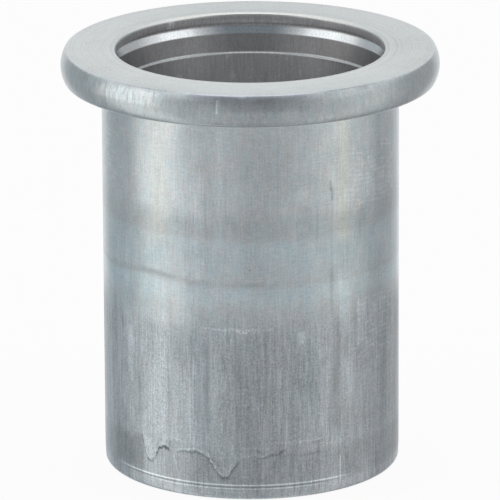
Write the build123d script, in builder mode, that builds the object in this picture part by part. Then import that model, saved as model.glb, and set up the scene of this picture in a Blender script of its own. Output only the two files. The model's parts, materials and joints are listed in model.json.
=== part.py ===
"""Flat-head blind rivet nut for an M8 screw, open at both ends, in one piece of aluminium.

The nut stands on its open foot. The origin is the centre of the foot's face, and +Z runs up the axis
to the head. The thin tube below the head is the crush zone, which folds outwards when the nut is set.
The thick lower part of the shank holds the thread, left here as a plain hole of its minor diameter.
"""

import os
from math import radians, tan

from build123d import *

# ---- Driving dimensions, in millimetres and degrees ----

# The whole nut
overall_length = 15.8  # foot to head face

# The head, with its barrel-shaped rim
head_diameter = 14.0  # at the widest part of the rim
head_thickness = 1.2
rim_bulge = 0.18  # how far the rim's middle stands out past its two edges
rim_edge_radius = 0.08  # soft corner at each edge of the rim

# The outside of the shank
shank_diameter = 11.0
neck_radius = 0.1  # fillet under the head
foot_taper_height = 0.55  # lead-in at the foot, which finds the hole in the sheet
foot_taper_inset = 0.02  # how far the lead-in draws in before its rounded end
foot_edge_radius = 0.18

# The crush zone
crush_wall = 0.6
shoulder_angle = 30.0  # slope of the shoulder between the crush zone and the thread, from level

# The mouth in the head, from the top down: a lip, an undercut groove and a relieved bore.
# Each relief is how much wider than the crush zone's bore that stretch is, on the radius.
lip_height = 0.36
lip_relief = 0.07
lip_edge_radius = 0.1  # rounded entry at the head face
groove_height = 0.17
groove_relief = 0.36
flank_angle = 60.0  # slope of the groove's lower side, from level
throat_depth = 1.49  # head face to the foot of the relieved bore
throat_top_relief = 0.19
throat_foot_relief = 0.06
ledge_angle = 45.0  # slope of the ledge under the relieved bore, from level

# The threaded part
thread_minor_diameter = 6.8
thread_length = 7.2  # foot to the start of the shoulder
thread_countersink = 0.7  # where the screw's tip leaves, at the foot

# ---- Sizes that follow from them ----

head_radius = head_diameter / 2
rim_edge_x = head_radius - rim_bulge
seat_z = overall_length - head_thickness  # underside of the head
rim_middle_z = overall_length - head_thickness / 2

shank_radius = shank_diameter / 2
foot_radius = shank_radius - foot_taper_inset

crush_radius = shank_radius - crush_wall
thread_radius = thread_minor_diameter / 2
shoulder_top_z = thread_length + (crush_radius - thread_radius) * tan(radians(shoulder_angle))

lip_radius = crush_radius + lip_relief
lip_foot_z = overall_length - lip_height
groove_radius = crush_radius + groove_relief
groove_foot_z = lip_foot_z - groove_height
throat_top_radius = crush_radius + throat_top_relief
throat_top_z = groove_foot_z - (groove_radius - throat_top_radius) * tan(radians(flank_angle))
throat_foot_radius = crush_radius + throat_foot_relief
throat_foot_z = overall_length - throat_depth
ledge_foot_z = throat_foot_z - throat_foot_relief * tan(radians(ledge_angle))

with BuildPart() as rivet_nut:
    # The blank, turned solid: lead-in, shank and head
    with BuildSketch(Plane.XZ) as blank:
        with BuildLine():
            Polyline(
                (0, overall_length),
                (0, 0),
                (foot_radius, 0),
                (shank_radius, foot_taper_height),
                (shank_radius, seat_z),
                (rim_edge_x, seat_z),
            )
            ThreePointArc((rim_edge_x, seat_z), (head_radius, rim_middle_z), (rim_edge_x, overall_length))
            Line((rim_edge_x, overall_length), (0, overall_length))
        make_face()
        fillet(blank.vertices().sort_by_distance((foot_radius, 0))[0], foot_edge_radius)
        fillet(blank.vertices().sort_by_distance((shank_radius, seat_z))[0], neck_radius)
        fillet(blank.vertices().sort_by_distance((rim_edge_x, seat_z))[0], rim_edge_radius)
        fillet(blank.vertices().sort_by_distance((rim_edge_x, overall_length))[0], rim_edge_radius)
    revolve(axis=Axis.Z)

    # The bore from the head: lip, groove, relieved throat, crush zone and shoulder
    with BuildSketch(Plane.XZ):
        with BuildLine():
            Polyline(
                (0, overall_length),
                (lip_radius, overall_length),
                (lip_radius, lip_foot_z),
                (groove_radius, lip_foot_z),
                (groove_radius, groove_foot_z),
                (throat_top_radius, throat_top_z),
                (throat_foot_radius, throat_foot_z),
                (crush_radius, ledge_foot_z),
                (crush_radius, shoulder_top_z),
                (thread_radius, thread_length),
                (0, thread_length),
                close=True,
            )
        make_face()
    revolve(axis=Axis.Z, mode=Mode.SUBTRACT)
    fillet(rivet_nut.faces().sort_by(Axis.Z)[-1].inner_wires().edges(), lip_edge_radius)

    # The threaded hole, from the foot up to the shoulder
    Hole(thread_radius)
    chamfer(rivet_nut.faces().sort_by(Axis.Z)[0].inner_wires().edges(), thread_countersink)

rivet_nut.part.label = "rivet_nut"

os.makedirs("parts", exist_ok=True)
export_step(rivet_nut.part, "parts/rivet_nut.step")

size = rivet_nut.part.bounding_box().size
print(f"rivet_nut {size.X:.2f} x {size.Y:.2f} x {size.Z:.2f} mm, {rivet_nut.part.volume:.1f} mm3")
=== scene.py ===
# %% [markdown]
# # A rivet nut in bare aluminium
#
# A blind rivet nut gives a thin sheet a thread. It is turned and headed from one bar of aluminium, so
# the whole object is one piece of metal: a flat round head, a thin-walled tube that folds when the nut
# is set, and a thick threaded end. This lesson turns it on a lathe made of Blender's edit-mode
# operators, cuts its thread, roughens it as the die and the workshop do, and gives it the grey of drawn
# aluminium.

# %% Load the frame
import json
import math

import bmesh
import bpy
import numpy as np
from mathutils import Matrix, Vector, noise


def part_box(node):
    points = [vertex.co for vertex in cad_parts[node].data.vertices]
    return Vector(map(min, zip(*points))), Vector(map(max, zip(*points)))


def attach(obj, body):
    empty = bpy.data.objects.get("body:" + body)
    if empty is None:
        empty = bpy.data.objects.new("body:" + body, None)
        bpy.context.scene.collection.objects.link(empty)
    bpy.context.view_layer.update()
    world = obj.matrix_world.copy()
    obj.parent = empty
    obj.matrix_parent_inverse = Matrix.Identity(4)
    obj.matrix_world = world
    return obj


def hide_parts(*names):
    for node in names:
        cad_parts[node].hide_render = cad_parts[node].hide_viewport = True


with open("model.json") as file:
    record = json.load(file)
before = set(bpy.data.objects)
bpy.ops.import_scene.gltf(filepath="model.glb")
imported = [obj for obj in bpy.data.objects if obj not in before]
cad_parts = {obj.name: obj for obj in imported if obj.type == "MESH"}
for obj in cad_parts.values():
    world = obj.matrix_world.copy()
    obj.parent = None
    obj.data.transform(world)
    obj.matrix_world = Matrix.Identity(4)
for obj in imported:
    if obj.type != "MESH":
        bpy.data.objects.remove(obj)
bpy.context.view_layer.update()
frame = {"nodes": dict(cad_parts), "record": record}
mm = 0.001
print("the frame's nodes:", sorted(frame["nodes"]))

# %% [markdown]
# ## Sizes
#
# The frame's record holds the sizes that other parts rely on: the hole for the screw, the shank that
# fills the sheet's hole and the seat under the head. They are read from there, so the metal that is
# made below stays on the model's own faces. The small steps inside the mouth are named where it is
# turned. Every length in this script is in millimetres until it is handed to Blender.

# %% Read the sizes
mounts = {mount["name"]: mount for mount in frame["record"]["mounts"]}
high_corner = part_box("rivet_nut")[1]
height = high_corner.z / mm
head_radius = high_corner.x / mm
shank_radius = mounts["shank"]["dims"]["r_mm"]
crush_radius = mounts["crush_bore"]["dims"]["r_mm"]
thread_radius = mounts["thread"]["dims"]["r_mm"]
seat_height = mounts["flange_seat"]["pos_m"][2] / mm
print(f"height {height:.2f}, head radius {head_radius:.2f}, shank radius {shank_radius:.2f}")

# %% [markdown]
# ## The camera
#
# The nut stands on its foot and is seen from a little above, from far away through a long lens, so its
# sides stay almost parallel. The camera aims at the middle of the nut's axis.

# %% Place the camera
camera_distance = 241.65 * mm
camera_rise = math.radians(16.65)
camera_lean = math.radians(-0.29)
middle = Vector((0, 0, height / 2 * mm))

camera_data = bpy.data.cameras.new("camera")
camera_data.lens = 467.3
camera_data.sensor_width = 36
camera_data.shift_x = -0.0022
camera_data.shift_y = 0.0041
camera_data.clip_start = 10 * mm
camera_data.clip_end = 10
camera = bpy.data.objects.new("camera", camera_data)
bpy.context.scene.collection.objects.link(camera)
offset = Vector((0, -math.cos(camera_rise), math.sin(camera_rise))) * camera_distance
aim = (-offset).to_track_quat("-Z", "Y").to_matrix().to_4x4()
camera.matrix_world = Matrix.Translation(middle + offset) @ aim @ Matrix.Rotation(camera_lean, 4, "Z")
bpy.context.scene.camera = camera
bpy.context.scene.view_settings.view_transform = "Standard"
print("camera at", [round(c, 3) for c in middle + offset])

# %% [markdown]
# ## Turning the nut
#
# On a lathe the nut is one profile swept round an axis. Here a circle takes the place of the tool: it
# starts as the edge of the countersink in the foot, and each step pulls a new ring out of the last one,
# to the next radius and height, up the outside, over the head and back down through the bore. The last
# ring meets the first, and merging them closes the metal.

# %% Helpers for edit mode
def select_only(piece):
    """Makes this piece the one that operators work on."""
    if bpy.context.object and bpy.context.object.mode == "EDIT":
        bpy.ops.object.mode_set(mode="OBJECT")
    bpy.ops.object.select_all(action="DESELECT")
    piece.select_set(True)
    bpy.context.view_layer.objects.active = piece


def pick(piece, kind, test):
    """Selects the verts, edges or faces that pass a test, in edit mode, and returns how many."""
    bpy.ops.mesh.select_mode(type={"verts": "VERT", "edges": "EDGE", "faces": "FACE"}[kind])
    bpy.ops.mesh.select_all(action="DESELECT")
    bm = bmesh.from_edit_mesh(piece.data)
    found = [element for element in getattr(bm, kind) if test(element)]
    for element in found:
        element.select_set(True)
    bm.select_flush_mode()
    bmesh.update_edit_mesh(piece.data)
    return len(found)


def radius_of(point):
    """Distance from the nut's axis."""
    return math.hypot(point.x, point.y) / mm


def turn_of(point):
    """Degrees round the axis, from the camera's side, positive to the right."""
    return math.degrees(math.atan2(point.x, -point.y))


def pull_ring(start, end):
    """Extrudes the selected ring from one (radius, height) to the next."""
    bpy.ops.mesh.extrude_edges_move(
        TRANSFORM_OT_translate={"value": (0, 0, (end[1] - start[1]) * mm)}
    )
    grow = end[0] / start[0]
    bpy.ops.transform.resize(value=(grow, grow, 1), center_override=(0, 0, end[1] * mm))


# %% The profile, from the countersink round to the threaded bore
segments = 256
countersink = 0.7
foot_taper_height = 0.55
foot_radius = shank_radius - 0.02
rim_bulge = 0.18
rim_steps = 8
lip_height = 0.36
lip_radius = crush_radius + 0.07
groove_radius = crush_radius + 0.36
groove_height = 0.17
flank_slope = math.radians(60)
throat_top = crush_radius + 0.19
ledge_step = 0.06
throat_foot = crush_radius + ledge_step
throat_depth = 1.49
thread_length = 7.2
shoulder_slope = math.radians(30)
shoulder_height = (crush_radius - thread_radius) * math.tan(shoulder_slope)

lip_foot = height - lip_height
groove_foot = lip_foot - groove_height
flank_foot = groove_foot - (groove_radius - throat_top) * math.tan(flank_slope)
ledge_height = height - throat_depth
shank_rows = [*np.arange(0.7, 2.9, 0.15), *np.arange(3.1, 7.0, 0.3), 7.5, 8, 8.6, 9.6, 10.8, 11.7]
shank_rows += [12.6, 13.6]


def rim_arc():
    """The barrel-shaped rim, as points on one arc from the seat to the head's face."""
    half = (height - seat_height) / 2
    arc_radius = (half ** 2 + rim_bulge ** 2) / (2 * rim_bulge)
    reach = math.asin(half / arc_radius)
    for step in range(rim_steps + 1):
        turn = reach * (2 * step / rim_steps - 1)
        radius = head_radius - arc_radius * (1 - math.cos(turn))
        yield radius, seat_height + half + arc_radius * math.sin(turn)


profile = [
    (thread_radius + countersink, 0),
    (foot_radius, 0),
    (shank_radius, foot_taper_height),
    *((shank_radius, level) for level in shank_rows),
    (shank_radius, seat_height),
    *rim_arc(),
    (lip_radius, height),
    (lip_radius, lip_foot),
    (groove_radius, lip_foot),
    (groove_radius, groove_foot),
    (throat_top, flank_foot),
    (throat_foot, ledge_height),
    (crush_radius, ledge_height - ledge_step),
    (crush_radius, thread_length + shoulder_height),
    (thread_radius, thread_length),
    (thread_radius, countersink),
    (thread_radius + countersink, 0),
]
bpy.ops.object.select_all(action="DESELECT")
bpy.ops.mesh.primitive_circle_add(vertices=segments, radius=profile[0][0] * mm, location=(0, 0, 0))
nut = bpy.context.object
nut.name = "turned_nut"
select_only(nut)
bpy.ops.object.mode_set(mode="EDIT")
bpy.ops.mesh.select_all(action="SELECT")
for start, end in zip(profile, profile[1:]):
    pull_ring(start, end)
bpy.ops.mesh.select_all(action="SELECT")
bpy.ops.mesh.remove_doubles(threshold=0.001 * mm)
bpy.ops.mesh.normals_make_consistent(inside=False)
bpy.ops.object.mode_set(mode="OBJECT")
print("turned:", len(nut.data.vertices), "vertices,", len(nut.data.polygons), "faces")

# %% [markdown]
# ## Edges
#
# No edge on a turned part is truly sharp. The Bevel operator rounds each named ring by its own width,
# widest at the foot and the mouth, and only a hair on the groove's corners.

# %% Round the edges
def round_ring(radius, level, width, steps):
    """Bevels the ring of edges at this radius and height."""
    def on_ring(edge):
        return all(
            abs(radius_of(v.co) - radius) < 0.004 and abs(v.co.z / mm - level) < 0.004 for v in edge.verts
        )
    count = pick(nut, "edges", on_ring)
    bpy.ops.mesh.bevel(offset=width * mm, offset_type="OFFSET", segments=steps, profile=0.5, affect="EDGES")
    return count


rim_edge = head_radius - rim_bulge
select_only(nut)
bpy.ops.object.mode_set(mode="EDIT")
for name, radius, level, width, steps in (
    ("foot", foot_radius, 0, 0.18, 6),
    ("neck", shank_radius, seat_height, 0.1, 4),
    ("rim, lower", rim_edge, seat_height, 0.07, 3),
    ("rim, upper", rim_edge, height, 0.05, 3),
    ("mouth", lip_radius, height, 0.1, 5),
    ("lip", lip_radius, lip_foot, 0.03, 2),
    ("groove, upper", groove_radius, lip_foot, 0.03, 2),
    ("groove, lower", groove_radius, groove_foot, 0.03, 2),
    ("flank", throat_top, flank_foot, 0.03, 2),
    ("ledge, upper", throat_foot, ledge_height, 0.02, 2),
    ("ledge, lower", crush_radius, ledge_height - ledge_step, 0.02, 2),
    ("shoulder, upper", crush_radius, thread_length + shoulder_height, 0.25, 4),
    ("shoulder, lower", thread_radius, thread_length, 0.06, 2),
    ("countersink", thread_radius + countersink, 0, 0.04, 2),
):
    print(name, round_ring(radius, level, width, steps), "edges")
bpy.ops.object.mode_set(mode="OBJECT")

# %% [markdown]
# ## The thread
#
# An M8 thread is a 60 degree groove that winds 1.25 mm up for each turn. A coil with the groove's own
# section is made by the Screw modifier, a little longer than the hole at both ends, and a Boolean cuts
# it out of the metal, so the thread runs out through the countersink and the shoulder as a tap leaves it.

# %% Wind the cutter
pitch = 1.25
major_radius = 4.0
steps_per_turn = 96
cutter_turns = 8
inner_radius = thread_radius - 0.2
half_outer = pitch / 16
thread_slope = math.radians(30)
half_inner = half_outer + (major_radius - inner_radius) * math.tan(thread_slope)
corners = (
    (inner_radius, -half_inner),
    (major_radius, -half_outer),
    (major_radius, half_outer),
    (inner_radius, half_inner),
)

bpy.ops.object.select_all(action="DESELECT")
bpy.ops.mesh.primitive_plane_add(size=2 * mm, location=(0, 0, 0))
cutter = bpy.context.object
cutter.name = "thread_cutter"
loop = [cutter.data.loops[i].vertex_index for i in cutter.data.polygons[0].loop_indices]
for index, (radius, level) in zip(loop, corners):
    cutter.data.vertices[index].co = (radius * mm, 0, (level - pitch / 2) * mm)
select_only(cutter)
bpy.ops.object.mode_set(mode="EDIT")
bpy.ops.mesh.select_all(action="SELECT")
bpy.ops.mesh.delete(type="ONLY_FACE")
bpy.ops.object.mode_set(mode="OBJECT")
winding = cutter.modifiers.new("winding", "SCREW")
winding.angle = math.tau
winding.screw_offset = pitch * mm
winding.iterations = cutter_turns
winding.steps = winding.render_steps = steps_per_turn
winding.use_normal_calculate = True
bpy.ops.object.modifier_apply(modifier="winding")
bpy.ops.object.mode_set(mode="EDIT")
bpy.ops.mesh.select_mode(type="VERT")
bpy.ops.mesh.select_all(action="DESELECT")
bpy.ops.mesh.select_non_manifold()
bpy.ops.mesh.edge_face_add()
bpy.ops.mesh.select_all(action="SELECT")
bpy.ops.mesh.normals_make_consistent(inside=False)
bpy.ops.object.mode_set(mode="OBJECT")
print("cutter:", len(cutter.data.polygons), "faces")

# %% Cut the thread
cut = nut.modifiers.new("cut", "BOOLEAN")
cut.operation = "DIFFERENCE"
cut.solver = "EXACT"
cut.object = cutter
select_only(nut)
bpy.ops.object.modifier_apply(modifier="cut")
bpy.data.objects.remove(cutter)
print("threaded:", len(nut.data.polygons), "faces")

# %% [markdown]
# ## What the die and the workshop left
#
# The shank has been pushed through a die, which dragged a skin of metal down its lower half. That skin
# ends above the foot in a ragged edge with a rough lobe and a tongue. The rim has a few shallow nicks,
# and the shank a short upright gouge. Sculpting would place them by eye. Here the mesh is made finer only
# where the marks are, and its vertices are then moved in code by a few hundredths of a millimetre.

# %% Make the marked places finer
def refine(cuts, test):
    """Subdivides the faces whose middle passes a test."""
    count = pick(nut, "faces", lambda face: test(face.calc_center_median()))
    bpy.ops.mesh.subdivide(number_cuts=cuts, quadcorner="INNERVERT")
    return count


def on_skin_edge(point):
    """Whether this is the band of the shank that the skin's edge crosses."""
    return radius_of(point) > 5.4 and 0.8 < point.z / mm < 2.5 and -66 < turn_of(point) < 40


def on_rim_front(point):
    """Whether this is the upper half of the rim, at the front."""
    return radius_of(point) > 6.7 and point.z / mm > 15.1 and -35 < turn_of(point) < 50


select_only(nut)
bpy.ops.object.mode_set(mode="EDIT")
print("skin:", refine(3, on_skin_edge), "faces, rim:", refine(1, on_rim_front), "faces")
bpy.ops.object.mode_set(mode="OBJECT")

# %% Where the skin ends, and where the knocks are
skin_edge = (
    # turn, height of the skin's ragged edge there
    (-75, 2.2), (-58, 2.0), (-55.5, 1.95), (-54.5, 1.65), (-53, 1.95), (-48, 2.0), (-46.5, 1.75),
    (-44.5, 1.15), (-43, 1.15), (-40, 1.35), (-38.5, 1.75), (-34, 1.8), (-32.4, 1.72), (-31.6, 1.45),
    (-31, 1.27), (-30.4, 1.5), (-29.8, 1.76), (-27, 1.84), (-20, 1.78), (-18, 1.74), (-16.9, 1.64),
    (-15.8, 1.43), (-14.6, 1.25), (-13.4, 1.09), (-12.3, 0.99), (-11, 0.95), (-9.8, 0.97), (-8.7, 1.06),
    (-7.3, 1.24), (-5.8, 1.46), (-4.6, 1.62), (-3.5, 1.68), (4, 1.69), (9, 1.85), (13.3, 1.98),
    (20, 2.15), (28, 2.2), (40, 2.1), (75, 1.9),
)
nicks = (
    # turn, height, half width, half height, depth
    (-10, 15.4, 0.07, 0.25, 0.02),
    (-3, 15.78, 0.25, 0.08, 0.01),
    (2, 15.74, 0.5, 0.14, 0.014),
    (9, 15.76, 0.5, 0.12, 0.012),
    (38, 15.75, 0.35, 0.12, 0.02),
    (32.2, 11.62, 0.07, 0.34, 0.025),
)
print(len(skin_edge), "points along the skin's edge,", len(nicks), "nicks")

# %% Measure every vertex
points = np.empty(len(nut.data.vertices) * 3)
nut.data.vertices.foreach_get("co", points)
points = points.reshape(-1, 3) / mm
radius = np.hypot(points[:, 0], points[:, 1])
turn = np.degrees(np.arctan2(points[:, 0], -points[:, 1]))
level = points[:, 2]
ragged = np.array([noise.noise(Vector(p * [3, 3, 1.5])) + 0.7 * noise.noise(Vector(p * 8)) for p in points])
broken = np.array([noise.noise(Vector(p * 2.2) + Vector((5, 0, 0))) for p in points])
on_shank = (radius > 5.3) & (level > 0.3) & (level < 14)
above = level - np.interp(turn, *zip(*skin_edge)) - 0.1 * ragged
print("vertices on the shank:", on_shank.sum())

# %% [markdown]
# ### A skin with a rolled edge
#
# "above" is how far each vertex lies above the skin's edge. Bell curves of it make the rolled bead just
# inside the edge, the gap just under it, with painted shade, and the crest, with a painted highlight.
# The skin is thick only on the lobe, the tongue and the sides of one crevice, and elsewhere it comes and
# goes with slow noise. How much skin, gap and crest a vertex has is also stored with the mesh, because
# the finish follows them.

# %% Work out the skin's thickness, its gap and its crest
def smooth(value):
    """Rises smoothly from 0 to 1 as the value does."""
    value = np.clip(value, 0, 1)
    return value * value * (3 - 2 * value)


def span(start, end, soft):
    """1 where the turn is between start and end, falling to 0 this many degrees outside."""
    return smooth((turn - start) / soft + 1) * smooth((end - turn) / soft + 1)


def bell(centre, width):
    """1 this far above the skin's edge, falling to nothing a few widths away."""
    return np.exp(-(((above - centre) / width) ** 2))


lobe = span(-46, -39, 2)
tongue = span(-16, -6, 2)
crevice = span(-38, -34, 1)
crack = 0.5 * span(6, 10, 4) + 0.5 * span(-29, -18, 2)
reach = on_shank * span(-60, 28, 8)

cover = reach * smooth(above / 0.06 + 0.5)
heavy = 0.25 * smooth(0.6 + 1.6 * broken) + 0.7 * lobe + 0.8 * tongue + 0.8 * crevice
thick = cover * (0.003 + heavy * (0.034 * bell(0.12, 0.18) + 0.006)) * smooth((2.5 - level) / 0.9)

gap = bell(-0.05, 0.05) + 0.5 * tongue * bell(-0.12, 0.09)
# The gap under the skin's edge is cut a little into the metal, and its darkness is painted shade.
under = reach * gap * (0.3 * smooth(0.4 + broken) + 0.5 * lobe + 0.5 * tongue + crevice + crack)

crest = 0.6 * smooth(0.3 + 2 * broken + ragged) + span(-31, -18, 1) + 0.5 * span(-3, 4, 1.5)
lit = reach * bell(0.03, 0.04) * crest
print(f"thickest skin: {thick.max():.3f} mm")

# %% Move the vertices, and store how much skin covers each
push = thick * (1 + 0.8 * ragged) - 0.006 * under
for at, up, half_width, half_height, depth in nicks:
    across = np.radians(turn - at) * radius / half_width
    push -= depth * smooth(1.2 - np.hypot(across, (level - up) / half_height)) * (radius > 5.3)
points[:, :2] *= (1 + push / np.maximum(radius, 1))[:, None]
nut.data.vertices.foreach_set("co", (points * mm).ravel())
for name, values in (("skin", cover * smooth((6.7 - level) / 0.3)), ("under", under), ("lit", lit)):
    nut.data.attributes.new(name, "FLOAT", "POINT").data.foreach_set("value", values)
nut.data.update()


def open_edges(piece):
    """How many edges don't join exactly two faces."""
    bm = bmesh.new()
    bm.from_mesh(piece.data)
    count = sum(len(edge.link_faces) != 2 for edge in bm.edges)
    bm.free()
    return count


print("faces:", len(nut.data.polygons), "open edges:", open_edges(nut))

# %% [markdown]
# ## Node networks written as sums
#
# Materials and the studio are node networks. Wiring them by hand takes many lines, so one small class
# wraps an output socket: writing a * b or 1 - a adds the Math node that works it out, and node() adds
# any other kind of node, with its settings first and then what goes into its sockets.

# %% A class for sockets
class Wire:
    """An output of a node that can be used in sums."""

    def __init__(self, socket):
        self.socket = socket

    def __getitem__(self, name):
        return Wire(self.socket.node.outputs[name])

    def node(self, kind, settings=None, *values, **named):
        return add_node(self.socket.id_data, kind, settings, *values, **named)

    def sum(self, operation, *others):
        return self.node("Math", {"operation": operation}, self, *others)

    def __add__(self, other):
        return self.sum("ADD", other)

    def __radd__(self, other):
        return self.sum("ADD", other)

    def __sub__(self, other):
        return self.sum("SUBTRACT", other)

    def __rsub__(self, other):
        return self.node("Math", {"operation": "SUBTRACT"}, other, self)

    def __mul__(self, other):
        return self.sum("MULTIPLY", other)

    def __rmul__(self, other):
        return self.sum("MULTIPLY", other)

    def ramp(self, start, end, low=0, high=1):
        """Rises smoothly from low to high as this value goes from start to end."""
        # A smooth step stays in its bounds by itself, and without the clamp the shader stays small
        settings = {"interpolation_type": "SMOOTHSTEP", "clamp": False}
        return self.node("MapRange", settings, self, start, end, low, high)

    def near(self, centre, width):
        """1 at the centre, falling smoothly to 0 this far from it."""
        return (self - centre).sum("ABSOLUTE").ramp(0, width, 1, 0)

    def between(self, start, end, soft):
        """1 between start and end, with a soft edge outside each."""
        return self.ramp(start - soft, start) * self.ramp(end, end + soft, 1, 0)

    def mix(self, first, second):
        """The colour that goes from first to second as this value goes from 0 to 1."""
        made = self.node("Mix", {"data_type": "RGBA"}, Factor=self, A=first, B=second)
        return made["Result"]


def add_node(tree, kind, settings=None, *values, **named):
    """Adds a node, applies its settings, then fills its sockets in order or by name."""
    made = tree.nodes.new("ShaderNode" + kind)
    for name, value in (settings or {}).items():
        setattr(made, name, value)
    usable = [socket for socket in made.inputs if socket.enabled]
    for socket, value in [*zip(usable, values), *((pick_socket(usable, n), v) for n, v in named.items())]:
        if isinstance(value, Wire):
            tree.links.new(value.socket, socket)
        elif value is not None:
            is_colour = socket.type == "RGBA" and len(value) == 3
            socket.default_value = (*value, 1) if is_colour else value
    return Wire(next(socket for socket in made.outputs if socket.enabled)) if made.outputs else None


def pick_socket(sockets, name):
    """The socket of this name, where a space in the name is written as an underscore."""
    return next(socket for socket in sockets if socket.name == name.replace("_", " "))


# %% [markdown]
# ## The studio
#
# Bare metal shows what stands round it. The studio is a tent: bright behind the nut, with a narrow soft
# panel at each side, and dim on the camera's side and above it. That gives the shank its two pale
# stripes, its grey middle and the light line along each edge. The metal's colour adds painted highlights
# and painted shade to these. The camera itself sees plain white.

# %% The tent
world = bpy.data.worlds.new("studio")
bpy.context.scene.world = world
world.use_nodes = True
tree = world.node_tree
tree.nodes.clear()
direction = add_node(tree, "TexCoord")["Generated"]
axes = add_node(tree, "SeparateXYZ", None, direction)
flat = add_node(tree, "CombineXYZ", None, axes["X"], axes["Y"], 0.0)
flat = add_node(tree, "VectorMath", {"operation": "NORMALIZE"}, flat)


def facing(azimuth, full, spread):
    """1 within the full angle of this azimuth (0 is the camera's side, 90 the right), then falls to 0."""
    turn = math.radians(azimuth)
    towards = (math.sin(turn), -math.cos(turn), 0)
    cosine = add_node(tree, "VectorMath", {"operation": "DOT_PRODUCT"}, flat, towards)["Value"]
    return cosine.ramp(math.cos(math.radians(spread)), math.cos(math.radians(full)))


def paint(amount, colour=(1, 1, 1)):
    """This much light of this colour."""
    return add_node(tree, "VectorMath", {"operation": "SCALE"}, colour, Scale=amount)


def add_light(*paints):
    """The sum of several lots of light."""
    total = paints[0]
    for more in paints[1:]:
        total = add_node(tree, "VectorMath", {"operation": "ADD"}, total, more)
    return total


up = axes["Z"]
walls = add_light(
    paint(0.47 + 0.03 * facing(0, 40, 90) + 0.12 * facing(-45, 10, 50) + 0.1 * facing(60, 10, 60)),
    paint(0.56 * facing(-79, 7, 28), (1.03, 1, 0.93)),
    paint(0.2 * facing(75, 4, 30), (1.04, 1, 0.9)),
    paint(0.52 * facing(180, 8, 40)),
    paint(0.04 * facing(-130, 5, 30), (0, 0.7, 1)),
)
roof = 0.2 + 0.72 * (facing(-92, 5, 72) + facing(92, 5, 72)) + 0.7 * facing(180, 30, 60)
roof = roof * up.ramp(0.96, 0.7, 0.4, 1) + 0.75 * up.ramp(0.8, 0.95)
roof = roof + 0.4 * facing(0, 30, 60) * up.ramp(0.8, 0.9)
share = up.ramp(0.3, 0.48)
front_up = facing(0, 10, 50) * up.ramp(-0.05, 0.3)
tent = add_light(
    add_node(tree, "VectorMath", {"operation": "SCALE"}, walls, Scale=(1 - share) * (1 - 0.4 * front_up)),
    paint(roof * share),
)
to_camera = add_node(tree, "LightPath")["Is Camera Ray"]
seen = to_camera.mix(tent, (1, 1, 1))
background = add_node(tree, "Background", None, seen)
add_node(tree, "OutputWorld", None, background)

# %% The floor
bpy.ops.object.select_all(action="DESELECT")
bpy.ops.mesh.primitive_plane_add(size=1.2, location=(0, 0, -0.01 * mm))
floor = bpy.context.object
floor.name = "floor"
floor.visible_glossy = False
floor_material = bpy.data.materials.new("pale_floor")
floor_material.use_nodes = True
tree = floor_material.node_tree
tree.nodes.clear()
to_camera = add_node(tree, "LightPath")["Is Camera Ray"]
below = add_node(tree, "NewGeometry")["Backfacing"]
paper = add_node(tree, "BsdfDiffuse", None, (0.85, 0.85, 0.85))
white = add_node(tree, "Emission", None, (1, 1, 1), 1.0)
lit = add_node(tree, "MixShader", None, to_camera * 0.93, paper, white)
clear = add_node(tree, "BsdfTransparent", None, (1, 1, 1))
surface = add_node(tree, "MixShader", None, below, lit, clear)
add_node(tree, "OutputMaterial", None, surface)
floor.data.materials.append(floor_material)


# %% Lights
def soft_box(name, place, size, level, colour=(1, 1, 1)):
    """A rectangular lamp that faces the nut and is this bright, where 1 is white."""
    data = bpy.data.lights.new(name, "AREA")
    data.shape = "RECTANGLE"
    data.size, data.size_y = size
    data.energy = level * size[0] * size[1] * math.pi
    data.color = colour
    lamp = bpy.data.objects.new(name, data)
    bpy.context.scene.collection.objects.link(lamp)
    lamp.location = Vector(place)
    lamp.rotation_euler = (middle - lamp.location).to_track_quat("-Z", "Y").to_euler()
    return lamp


soft_box("left", (-0.265, -0.1, 0.23), (0.18, 0.18), 0.32, (1, 0.98, 0.94))
soft_box("right", (0.265, -0.1, 0.23), (0.18, 0.18), 0.32, (1, 0.98, 0.94))

# %% [markdown]
# ## Bare aluminium
#
# Drawn aluminium is a cool grey. The die leaves fine lines down the shank, washing leaves bluish bands
# round it, and rubbing against other nuts leaves short slanting scratches. An image could hold all this,
# but it would blur close up. Here each point of the metal works out its own radius, height and turn, and
# those three numbers place every mark.

# %% Coordinates
bare = bpy.data.materials.new("bare_aluminium")
bare.use_nodes = True
tree = bare.node_tree
tree.nodes.clear()
place = add_node(tree, "TexCoord")["Object"]
place = add_node(tree, "VectorMath", {"operation": "SCALE"}, place, Scale=1 / mm)
spot = add_node(tree, "SeparateXYZ", None, place)
x, y, z = spot["X"], spot["Y"], spot["Z"]
r = (x * x + y * y).sum("SQRT")
degrees = x.sum("ARCTAN2", 0 - y) * (180 / math.pi)
around = degrees.sum("ABSOLUTE")


def grain(across, along, detail=2.0, rough=0.5, seed=0.0):
    """Noise from 0 to 1, this fine across the axis and along it, in grains per millimetre."""
    where = add_node(tree, "Mapping", None, place, Location=(seed, 0, 0), Scale=(across, across, along))
    return add_node(tree, "TexNoise", None, Vector=where, Scale=1.0, Detail=detail, Roughness=rough)


def attribute(name):
    """A value that the mesh stores for each vertex."""
    return add_node(tree, "Attribute", {"attribute_name": name})["Fac"]


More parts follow.
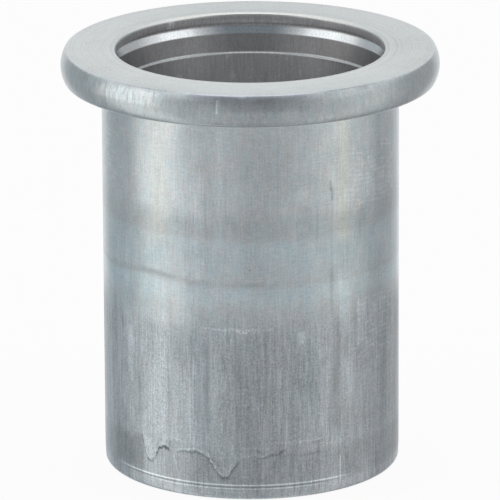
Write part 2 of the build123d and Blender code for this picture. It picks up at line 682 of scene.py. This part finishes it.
# %% Which part of the nut this is
outside = r.ramp(shank_radius - 0.15, shank_radius - 0.1) * z.ramp(seat_height - 0.1, seat_height - 0.02, 1, 0)
rim = r.ramp(rim_edge - 0.08, rim_edge)
face = z.ramp(height - 0.02, height - 0.003) * (1 - rim)
inside = r.ramp(shank_radius - 0.2, shank_radius - 0.16, 1, 0) * z.between(0.03, height - 0.1, 0.05)
flank = r.between(throat_top + 0.02, groove_radius - 0.02, 0.02)
flank = flank * z.between(flank_foot - 0.06, groove_foot - 0.03, 0.02)
low = z.ramp(7.6, 6.0)
skin = attribute("skin")
under = attribute("under")
print("masks:", len(tree.nodes), "nodes")

# %% [markdown]
# ### Lines and clouds
#
# All texture here is noise. Squeezed across the axis and stretched along it, noise turns into the lines
# that a die draws. Left even, it is the cloudiness of worn metal. "low" marks the thick lower half of the
# shank, which filled the die and so carries the deeper lines. "shade" gathers everything that makes the
# metal lighter or darker, and it starts at 1.

# %% The grains
sway = grain(0.5, 0.4, 3.0, seed=3.0)
clouds = grain(0.9, 0.6, 4.0, 0.6)
patches = grain(1.6, 0.3, 3.0, 0.6, 9.0)
fine = grain(17, 17, 2.0, 0.8, 7.0)
lines = grain(18, 1.2, 3.0, 0.75, 1.0)
cross_lines = grain(3, 16, 2.0, 0.7, 13.0)
long_lines = grain(7, 0.14, 3.0, 0.65, 5.0)
hairs = grain(12, 0.22, 2.0, 0.6, 31.0)
rim_lines = grain(8, 1.3, 3.0, 0.75, 2.0)
coarse = grain(12, 10, 3.0, 0.8, 11.0)
print("grains:", len(tree.nodes), "nodes")

# %% The shank
streak = (lines - 0.5) * (0.5 + 0.5 * low) + (long_lines - 0.5) * (0.15 + 0.35 * low)
cloudy = 0.4 * (clouds - 0.5) + (patches - 0.5) * (0.15 + 0.3 * low)
streak = streak + (hairs.ramp(0.6, 0.7) - hairs.ramp(0.4, 0.3)) * (0.03 + 0.12 * low)
grit = (fine - 0.5) * (0.6 + 0.6 * low)
shade = 1 + outside * (streak + cloudy + 0.3 * (cross_lines - 0.5)) + grit

# %% The rim and the head's face, which the lathe left with faint rings
shade = shade + rim * (0.5 * (rim_lines - 0.5) + 0.25 * (clouds - 0.5) - 0.14)
turned = {"noise_dimensions": "1D"}
rings = add_node(tree, "TexNoise", turned, W=r * 10 + sway * 2, Scale=1.0, Detail=4.0, Roughness=0.7)
# Painted light on the face: lighter at the front, darker elsewhere and most to the right.
painted_face_light = 0.11 * degrees.near(0, 90) - 0.06 * degrees.near(90, 45) - 0.05
shade = shade + face * (0.4 * (rings - 0.5) + 0.3 * (clouds - 0.5) + painted_face_light)

# %% The mouth and the bore
shade = shade + inside * (0.7 * (lines - 0.5) + 0.3 * (patches - 0.5)) * (1 - flank)
flecks = grain(4, 4, 1.0, 0.5, 21.0).ramp(0.66, 0.74) * z.between(9, 14.2, 0.5)
knock = degrees.near(-143.5, 2.5) * z.between(15.44, 15.72, 0.05)
shade = shade + inside * (0.2 * flecks + 0.9 * knock * lines.ramp(0.3, 0.6))
# Painted light on the bore below the ledge at the back right, and a painted highlight on the flank there.
shade = shade + inside * 0.14 * degrees.near(142, 22) * z.ramp(14.25, 14.05)
shade = shade + inside * flank * 0.1 * degrees.near(134, 14)
arcs = r.near(5.42, 0.05) * degrees.between(75, 115, 12) + r.near(5.62, 0.06) * degrees.between(85, 125, 12)
# Faint arcs scratched in the face, and painted shade along the rim's lower edge, where it turns down.
shade = shade - face * (0.12 * arcs - 0.2 * (coarse - 0.5)) - rim * 0.14 * z.ramp(14.85, 14.7)
print("texture:", len(tree.nodes), "nodes")

# %% [markdown]
# ### Bands and turned lines
#
# Each band is a pair of ramps of the height. The height is first bent by noise, so no edge of a band is
# straight, and the streakier edges are bent by the die's own lines. The two bright lines above the foot
# come from a lathe and stay almost straight.

# %% Bands round the shank
warp = z + 0.6 * (sway - 0.5) + 0.35 * (clouds - 0.5) + 0.2 * (lines - 0.5)
streaky = z + 0.3 * (clouds - 0.5) + 0.8 * (lines - 0.5)
faint = grain(0.7, 2.5, 3.0, 0.6, 4.0).ramp(0.35, 0.6)
mark_z = z + 0.1 * (sway - 0.5) + 0.08 * (fine - 0.5) - 0.18 * degrees.near(-42, 34)
mark = mark_z.near(8.23, 0.21) * (0.25 + 0.45 * faint + 0.5 * degrees.near(-38, 16))
mark = mark * (0.4 + 1.2 * lines) * degrees.ramp(22, 6, 0.2, 1)
pale = warp.ramp(8.25, 8.05) * warp.ramp(7.2, 7.8)
blue = streaky.ramp(10.05, 9.8) * warp.ramp(8.3, 8.9)
dull = streaky.ramp(9.8, 10.1) * warp.ramp(11.4, 10.5)
sides = degrees.between(-48, -33, 6) + 0.75 * degrees.between(36, 56, 12)
# Painted shade on both sides of the shank, over its middle heights.
painted_side_shade = sides * warp.ramp(11.1, 10.4) * warp.ramp(6.6, 7.4)
bands = 1 + outside * (0.1 * pale + 0.02 * blue - 0.1 * dull - 0.19 * mark - 0.19 * low - 0.13 * painted_side_shade)

# %% The turned lines at the foot
edge_z = z + 0.015 * (sway - 0.5)
upper_line = edge_z.near(0.59, 0.045) * degrees.between(-53, 30, 14)
lower_line = edge_z.near(0.45, 0.04) * degrees.between(-33, 18, 14)
gap_line = edge_z.near(0.52, 0.045) * degrees.between(-50, 25, 14)
foot_band = z.ramp(0.5, 0.42)
foot_marks = 1 + outside * (1.0 * upper_line + 0.6 * lower_line - 0.25 * gap_line + 0.05 * foot_band)

# %% Where the skin lies, and the stain beside it
lobe = skin * degrees.between(-45, -35, 3.0) * z.ramp(6.6, 5.6)
tongue = skin * degrees.between(-14, -8, 2.5)
skin_marks = 1 + lobe * (0.06 + 0.9 * (coarse - 0.5)) + tongue * (0.05 + 0.7 * (coarse - 0.5))
# Painted shade in the gap under the skin's edge.
skin_marks = skin_marks - 0.6 * under * coarse.ramp(0.25, 0.5)
skin_marks = skin_marks + 0.4 * attribute("lit") * coarse.ramp(0.35, 0.6)
bare_foot = (1 - skin) * z.between(0.75, 1.6, 0.4)
stain = 0.6 * degrees.between(-64, -48, 4) * z.between(0.9, 1.8, 0.3) + 0.55 * bare_foot
print("bands:", len(tree.nodes), "nodes")

# %% [markdown]
# ### Strips, scores and ledges
#
# Handling has polished some upright strips of the shank and dulled others, and two rows are painted
# light: a painted highlight on the pale stripe at the right, and painted shade along the right edge. Each
# is one row of a table: where it is, how far it fades out, and how much lighter or darker it makes the
# metal. A narrow, strong row is a score. Ledges are the same lying down, where the skin ends in a step.
# The die's lines break both up, so no strip looks painted on.

# %% Upright strips and scores
strips = 0
for middle_turn, half_turn, low_end, high_end, soft, strength in (
    # from the head down to the bands
    (-45, 6, 11.2, 12.6, 0.4, 0.05),
    (-24, 10, 10.9, 11.8, 0.4, 0.1),
    (-23, 7, 8.6, 14.4, 0.5, 0.08),
    (-19.5, 4, 8.4, 12.2, 0.5, 0.08),
    (-17.5, 0.9, 9.9, 12.0, 0.5, -0.08),
    (-12.3, 2.6, 10.0, 13.8, 0.4, 0.1),
    (10.2, 0.8, 12.0, 14.2, 0.4, -0.08),
    (18, 8, 10.9, 11.6, 0.4, 0.07),
    (26, 0.9, 9.6, 11.0, 0.5, -0.1),
    # a painted highlight on the pale stripe at the right
    (37.5, 5.5, 10.0, 14.3, 0.6, 0.09),
    (46.5, 2, 9.6, 10.5, 0.4, -0.1),
    (51.5, 5, 10.2, 14.3, 0.5, 0.09),
    (53.5, 5, 10.5, 14.3, 0.6, 0.07),
    # painted shade along the right edge
    (77, 6, 0.6, 14.3, 0.3, -0.15),
    # the gouge, and the score below it
    (31.9, 1.1, 11.65, 11.95, 0.1, -0.26),
    (32.6, 1.0, 11.3, 11.65, 0.15, -0.24),
    (32.4, 1.0, 8.4, 11.2, 0.5, -0.09),
    (32.2, 1.3, 7.0, 8.4, 0.4, -0.14),
    # across the bands
    (-56, 3.5, 7.4, 9.4, 0.4, 0.09),
    (-0.6, 0.5, 8.84, 8.86, 0.05, -0.4),
    (19.5, 4, 6.8, 9.8, 0.5, -0.08),
    (27, 7, 7.0, 10.0, 0.6, -0.08),
    (33, 3, 7.8, 8.6, 0.3, -0.09),
    (37, 4.5, 7.0, 8.2, 0.5, 0.08),
    (44, 5, 6.6, 7.8, 0.4, -0.09),
    # on the skin, to the left
    (-58, 9, 3.4, 7.0, 0.6, 0.06),
    (-57, 8, 3.0, 6.5, 0.6, 0.1),
    (-54, 2.4, 4.1, 5.9, 0.3, 0.24),
    (-32.5, 4, 4.5, 7.5, 0.6, -0.07),
    (-29.5, 2.5, 2.2, 5.0, 0.5, 0.08),
    (-28, 10, 5.3, 6.4, 0.5, -0.07),
    (-25, 7, 2.3, 4.8, 0.7, 0.1),
    (-24, 3, 2.4, 5.2, 0.5, 0.06),
    (-20.5, 0.8, 3.0, 4.4, 0.4, -0.1),
    (-17.3, 1.3, 2.8, 5.6, 0.4, -0.16),
    (-16.5, 3, 3.2, 6.6, 0.5, -0.07),
    (-12.3, 2.5, 2.4, 6.0, 0.5, 0.05),
    (-5, 4, 2.6, 4.0, 0.5, 0.06),
    (-3, 5, 2.0, 6.0, 0.8, -0.05),
    # on the skin, to the right
    (10.5, 1.4, 2.3, 4.9, 0.3, 0.15),
    (13.6, 0.7, 2.5, 5.0, 0.4, 0.1),
    (19.5, 2.4, 6.0, 6.3, 0.15, 0.32),
    (21.2, 1.2, 4.9, 6.0, 0.3, 0.16),
    (24, 3, 4.3, 5.6, 0.5, -0.08),
    (30.3, 0.8, 2.0, 6.8, 0.5, 0.1),
    (33, 3.2, 2.7, 4.6, 0.6, -0.12),
    (34.2, 2.8, 4.3, 6.8, 0.8, -0.12),
    (35.5, 4, 2.7, 5.5, 0.5, -0.1),
    (36, 10, 1.0, 6.4, 0.8, -0.06),
    (37, 0.8, 2.4, 6.3, 0.5, 0.12),
    (40, 4, 3.8, 5.0, 0.4, 0.08),
    (43, 4, 1.0, 6.4, 0.8, -0.08),
    (45.5, 1.2, 5.5, 7.2, 0.3, 0.18),
    (49, 9, 1.4, 5.2, 0.6, -0.08),
    # near the foot
    (-52.5, 3.5, 0.9, 1.8, 0.5, -0.1),
    (-50, 4, 1.9, 3.0, 0.4, -0.08),
    (-48, 3, 0.9, 1.8, 0.5, -0.05),
    (36.2, 0.5, 0.4, 1.3, 0.2, 0.6),
    (36.4, 0.4, 1.3, 2.0, 0.2, 0.2),
):
    strips = strips + degrees.near(middle_turn, half_turn) * z.between(low_end, high_end, soft) * strength
print("strips:", len(tree.nodes), "nodes")

# %% Ledges
wavy_z = z + 0.25 * (clouds - 0.5) + 0.12 * (patches - 0.5) + 0.05 * (coarse - 0.5)
ledges = 0
for ledge_z, half_height, start, end, strength in (
    (6.58, 0.07, -17, 6, 0.3),
    (6.52, 0.12, -8, 1, 0.42),
    (2.19, 0.06, 10, 27, 0.25),
    (2.12, 0.08, -33, -18, 0.2),
    (2.0, 0.06, -6, 7, 0.25),
    (1.66, 0.1, 12, 28, -0.2),
):
    ledges = ledges + wavy_z.near(ledge_z, half_height) * degrees.between(start, end, 4) * strength
strips = strips * (0.2 + 1.6 * lines) + ledges * coarse.ramp(0.4, 0.6)
shade = shade * bands * foot_marks * skin_marks * (1 + outside * (strips - 0.2 * stain))

# %% Painted light and shade on the front of the rim, and one nick
# A lighter upright line marks the nick at -10 degrees.
rim_light_and_nick = rim * (0.5 * degrees.near(-10, 0.5) * z.between(15.15, 15.6, 0.05) * (0.4 + lines))
# A painted highlight on the upper left of the rim, broken up by its streaks.
frost = 0.4 + 1.2 * rim_lines.ramp(0.35, 0.65)
rim_light_and_nick = rim_light_and_nick + rim * 0.2 * degrees.between(-50, -34, 12) * z.between(15.3, 15.6, 0.2) * frost
# Painted light on the top of the front, and painted shade on the top edge to the right and across the middle.
rim_light_and_nick = rim_light_and_nick + rim * 0.14 * degrees.between(-21, 16, 7) * z.ramp(15.5, 15.62)
rim_light_and_nick = rim_light_and_nick + rim * 0.06 * degrees.between(-20, -10, 4) * z.ramp(15.5, 15.62)
rim_light_and_nick = rim_light_and_nick - rim * 0.16 * degrees.between(26, 38, 6) * z.ramp(15.58, 15.68)
rim_light_and_nick = rim_light_and_nick - rim * 0.16 * degrees.between(-5, 14, 6) * z.near(15.32, 0.22)
shade = shade + rim_light_and_nick

# %% Slanting rub marks at both sides
rub_zone = degrees.between(44, 68, 6.0) * (z.between(10.9, 12.9, 0.4) + z.between(4.8, 7, 0.4))
rub_zone = (rub_zone + degrees.between(-80, -66, 6.0) * z.between(11.5, 14.3, 0.4)) * outside
rub_wave = (z * 34 + degrees * 0.35 + 14 * sway + 14 * clouds + 5 * lines).sum("SINE") * 0.5 + 0.5
rub_wave = rub_wave * grain(2.5, 4, 2.0, 0.6, 17.0).ramp(0.42, 0.62)
shade = shade * (1 + rub_zone * 0.17 * (rub_wave - 0.2))
print("wear:", len(tree.nodes), "nodes")

# %% [markdown]
# ### Colour
#
# The metal's own colour runs between a neutral grey and a cooler one, in blotches. It is coolest in the
# washed bands and down the left of the skin, and a warm painted highlight lies on two upright strips of
# the upper shank. Inside the mouth every step has its own tone of painted light and shade, because a tight
# dark bore sends back less light than one reflection shows: the throat is painted darker, the lip's wall,
# the flank and the far edge of the mouth lighter, and the ledge lighter at the back. The colour is then
# scaled by the shade.

# %% Colour of the outside
blotch = grain(2.2, 1.6, 6.0, 0.75, 41.0)
cool = 0.25 * blue + 0.28 * pale + 0.2 * degrees.between(-66, -42, 8) * z.between(6.8, 9, 0.5)
cool = cool + 0.16 * low * degrees.ramp(20, -30)
cool = cool + 0.3 * degrees.near(-20.5, 5) * z.between(2, 6, 0.8)
cool = cool + 0.3 * degrees.near(22, 7) * z.between(3.5, 6, 0.8)
cool = 0.43 + outside * cool + 2.2 * (blotch - 0.5) + 0.8 * (lines - 0.5) + 0.6 * (fine - 0.5)
tint = cool.mix((0.66, 0.67, 0.68), (0.54, 0.652, 0.705))
tint = (low * outside * 0.5).mix(tint, (0.605, 0.65, 0.70))
# Painted bluish shade on the top of the rim's front, over its worn flats.
tint = (rim * degrees.between(-15, 16, 8) * z.ramp(15.45, 15.6)).mix(tint, (0.6, 0.65, 0.71))
# A warm painted highlight on two upright strips of the upper shank, strongest at the right.
warm_highlight = outside * (degrees.near(37.5, 6) + 0.6 * degrees.near(-37.5, 6)) * z.between(9.9, 14.4, 0.5)
tint = warm_highlight.mix(tint, (0.63, 0.67, 0.655))
tint = face.mix(tint, blotch.ramp(0.2, 0.8).mix((0.58, 0.61, 0.61), (0.56, 0.61, 0.63)))

# %% Colour of the mouth, from the bore up to its edge, in painted light and shade
tint = inside.mix(tint, (0.57, 0.573, 0.585))
# Painted shade: the throat is darker, darkest at the back of each side.
throat_wall = inside * z.between(ledge_height + 0.04, flank_foot, 0.03)
tint = throat_wall.mix(tint, around.near(146, 18).mix((0.38, 0.382, 0.392), (0.285, 0.287, 0.297)))
# Painted light: the lip's wall is lighter, most of all low down.
lip_wall = inside * z.ramp(groove_foot + 0.03, lip_foot)
tint = lip_wall.mix(tint, z.ramp(15.5, 15.66).mix((0.84, 0.84, 0.86), (0.62, 0.62, 0.635)))
# A painted reflection on the groove's flank: lighter, and bluish at the far middle.
tint = (inside * flank).mix(tint, around.ramp(160, 172).mix((0.72, 0.76, 0.79), (0.73, 0.85, 0.96)))
# A painted highlight along the ledge at the back; at the sides it is darker.
on_ledge = inside * z.between(ledge_height - 0.05, ledge_height - 0.01, 0.01)
tint = on_ledge.mix(tint, around.ramp(155, 172).mix((0.42, 0.46, 0.48), (0.6, 0.64, 0.66)))
# A painted highlight along the far edge of the mouth.
mouth_edge = r.ramp(5.2, 5.1) * z.ramp(15.7, 15.74)
edge_shine = around.ramp(105, 155) * z.ramp(15.72, 15.78, 0.3, 1)
tint = mouth_edge.mix(tint, edge_shine.mix((0.52, 0.56, 0.57), (0.84, 0.85, 0.83)))
colour = add_node(tree, "VectorMath", {"operation": "SCALE"}, tint, Scale=shade)
print("colour:", len(tree.nodes), "nodes")

# %% [markdown]
# ### Roughness and relief
#
# The metal is satin all over: a little duller on the lower half and on the skin, a little brighter on the
# groove's flank. The same lines that shade it also raise it by a thousandth of a millimetre or two,
# through a Bump node, so they catch light from the side. A slight anisotropy stretches each reflection,
# as drawn metal does.

# %% The finish
roughness = 0.29 + 0.11 * low * outside + 0.12 * (clouds - 0.5) + 0.06 * skin
roughness = roughness + inside * (0.05 - 0.18 * flank) + 0.14 * lip_wall
relief = outside * (0.0012 * lines + 0.0015 * long_lines * low)
relief = relief + 0.0014 * fine + 0.003 * (lobe + tongue) * coarse
relief = relief + rim * 0.0015 * rim_lines + 0.0012 * rub_zone * rub_wave
relief = relief - outside * 0.003 * mark - outside * 0.006 * gap_line
bump = add_node(tree, "Bump", None, Strength=1.0, Distance=mm, Height=relief)
shader = add_node(
    tree, "BsdfPrincipled", None, Base_Color=colour, Metallic=1.0, Roughness=roughness, Normal=bump,
    Anisotropic=0.4, Anisotropic_Rotation=0.25,
)
add_node(tree, "OutputMaterial", None, shader)
nut.data.materials.append(bare)
print("finish:", len(tree.nodes), "nodes")

# %% Smooth the shading
select_only(nut)
bpy.ops.object.shade_smooth_by_angle(angle=math.radians(30))
print("smooth faces:", sum(polygon.use_smooth for polygon in nut.data.polygons))

# %% Hand over
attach(nut, "root")
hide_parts("rivet_nut")
